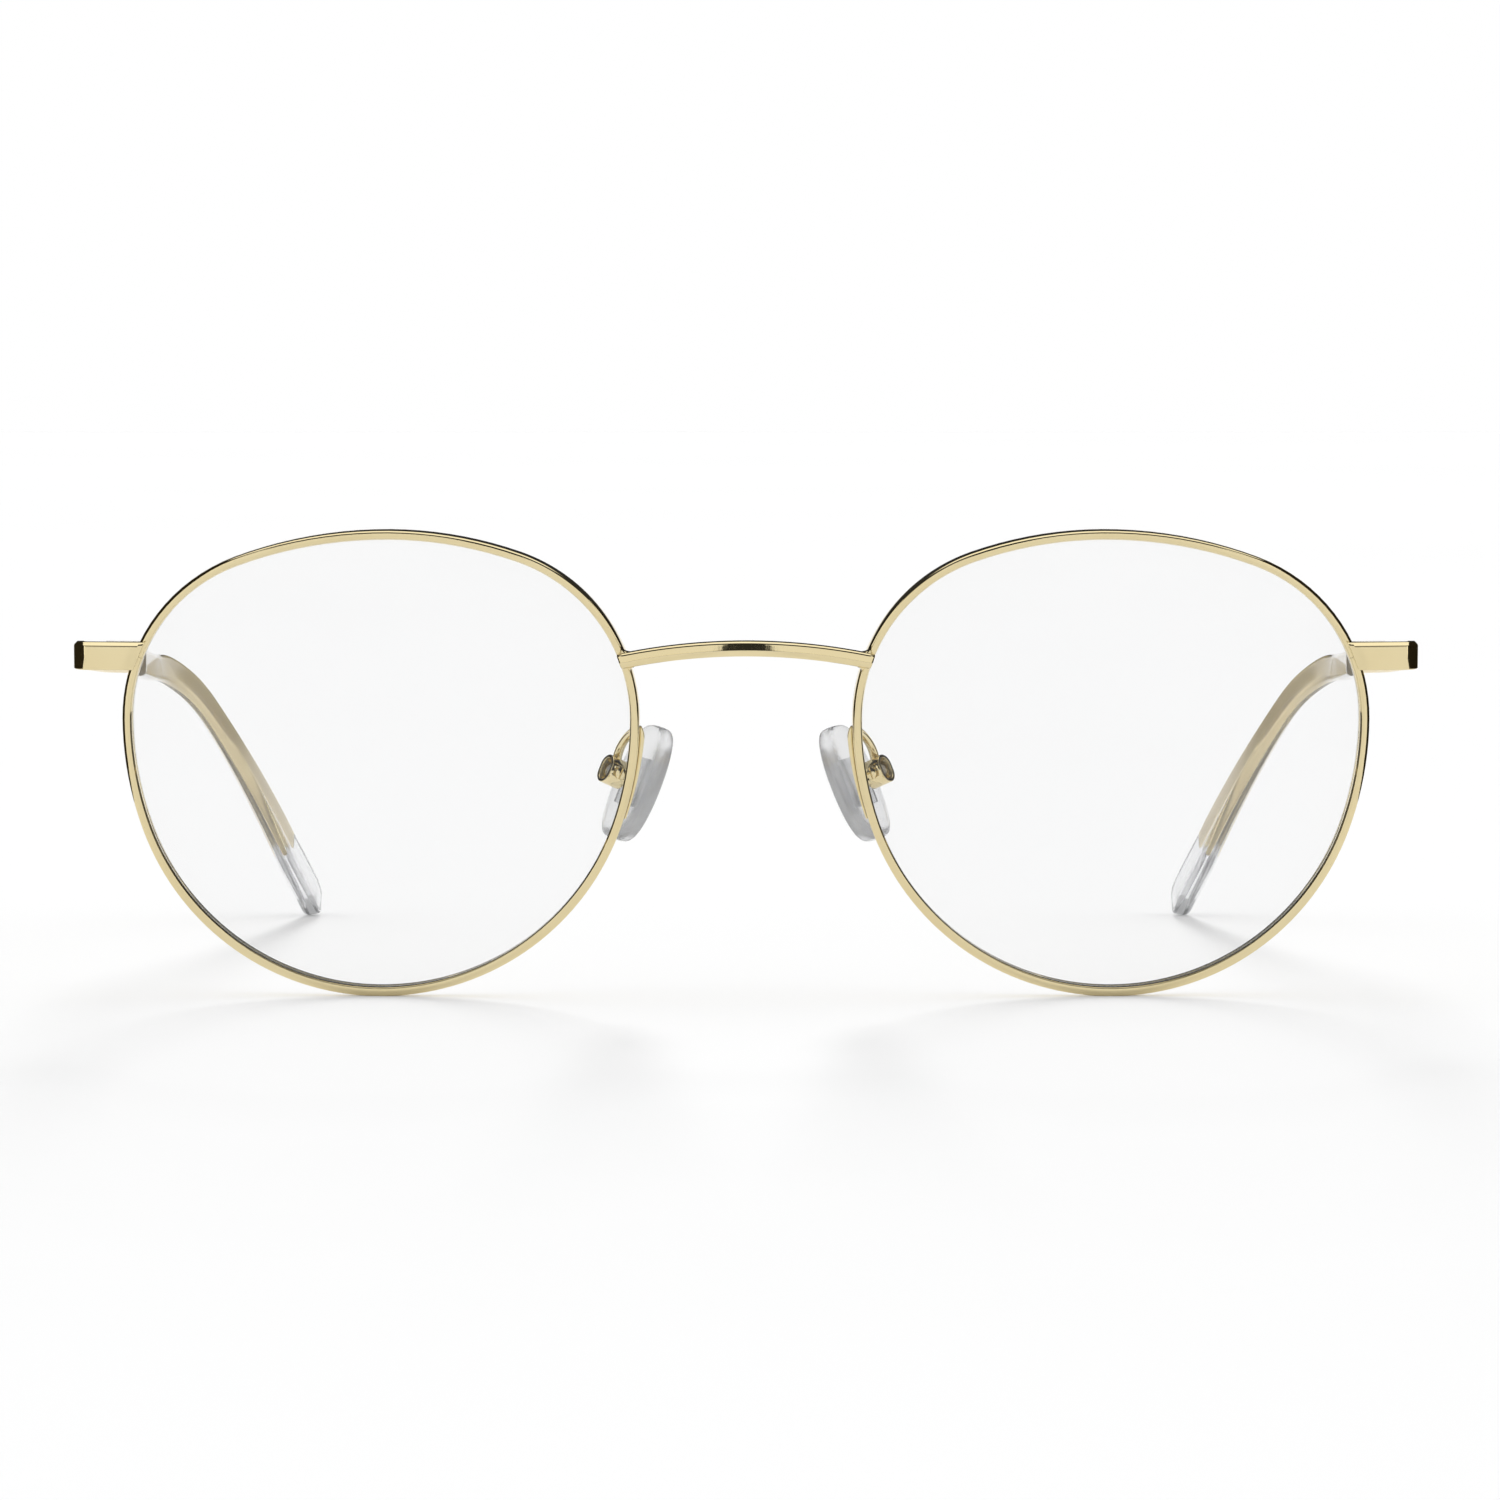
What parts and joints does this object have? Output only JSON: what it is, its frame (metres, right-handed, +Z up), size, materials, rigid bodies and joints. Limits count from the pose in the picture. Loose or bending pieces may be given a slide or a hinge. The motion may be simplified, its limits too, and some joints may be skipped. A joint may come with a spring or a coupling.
{
  "type": "eyeglasses",
  "caption": "Round metal eyeglasses with an arched bridge, silicone nose pads, folding temples on barrel hinges and clear sleeves over the bent temple ends.",
  "frame": {"origin": "on the surface that the glasses stand on, under the middle of their width and depth", "axes": "+Z up; the front faces -Y and the temples run to +Y; +X is the wearer's left"},
  "size_m": [0.1334, 0.1394, 0.0466],
  "materials": {
    "pale_gold": "polished pale gold plating",
    "screw_steel": "turned steel",
    "lens": "clear, polished",
    "silicone": "clear silicone, softly matt",
    "pad_core": "clear hard plastic",
    "crystal": "clear grey crystal, polished"
  },
  "bodies": {
    "front": {"rim_left": "pale_gold", "rim_right": "pale_gold", "lens_left": "lens", "lens_right": "lens", "bridge": "pale_gold", "endpiece_left": "pale_gold", "endpiece_right": "pale_gold", "closing_upper_left": "pale_gold", "closing_upper_right": "pale_gold", "closing_lower_left": "pale_gold", "closing_lower_right": "pale_gold", "rim_screw_left": "screw_steel", "rim_screw_right": "screw_steel", "pad_arm_left": "pale_gold", "pad_arm_right": "pale_gold", "pad_box_left": "pale_gold", "pad_box_right": "pale_gold", "pad_screw_left": "screw_steel", "pad_screw_right": "screw_steel", "front_hinge_left": "pale_gold", "front_hinge_right": "pale_gold", "hinge_screw_left": "screw_steel", "hinge_screw_right": "screw_steel"},
    "temple_left": {"temple_hinge_left": "pale_gold", "temple_arm_left": "pale_gold", "temple_tip_left": "crystal"},
    "pad_left": {"pad_insert_left": "pad_core", "nose_pad_left": "silicone"},
    "temple_right": {"temple_hinge_right": "pale_gold", "temple_arm_right": "pale_gold", "temple_tip_right": "crystal"},
    "pad_right": {"pad_insert_right": "pad_core", "nose_pad_right": "silicone"}
  },
  "joints": [
    {"name": "temple_left_fold", "type": "hinge", "parent": "front", "child": "temple_left", "pos_m": [0.06428, -0.05567, 0.03371], "axis": [0, 0, 1], "range_deg": [0, 84]},
    {"name": "temple_right_fold", "type": "hinge", "parent": "front", "child": "temple_right", "pos_m": [-0.06428, -0.05567, 0.03371], "axis": [0, 0, -1], "range_deg": [0, 72]},
    {"name": "pad_left_rock", "type": "hinge", "parent": "front", "child": "pad_left", "pos_m": [0.0132, -0.05931, 0.02221], "axis": [0.5446, 0.8341, 0.0877], "range_deg": [-10, 10]},
    {"name": "pad_right_rock", "type": "hinge", "parent": "front", "child": "pad_right", "pos_m": [-0.0132, -0.05931, 0.02221], "axis": [0.5446, -0.8341, -0.0877], "range_deg": [-10, 10]}
  ]
}
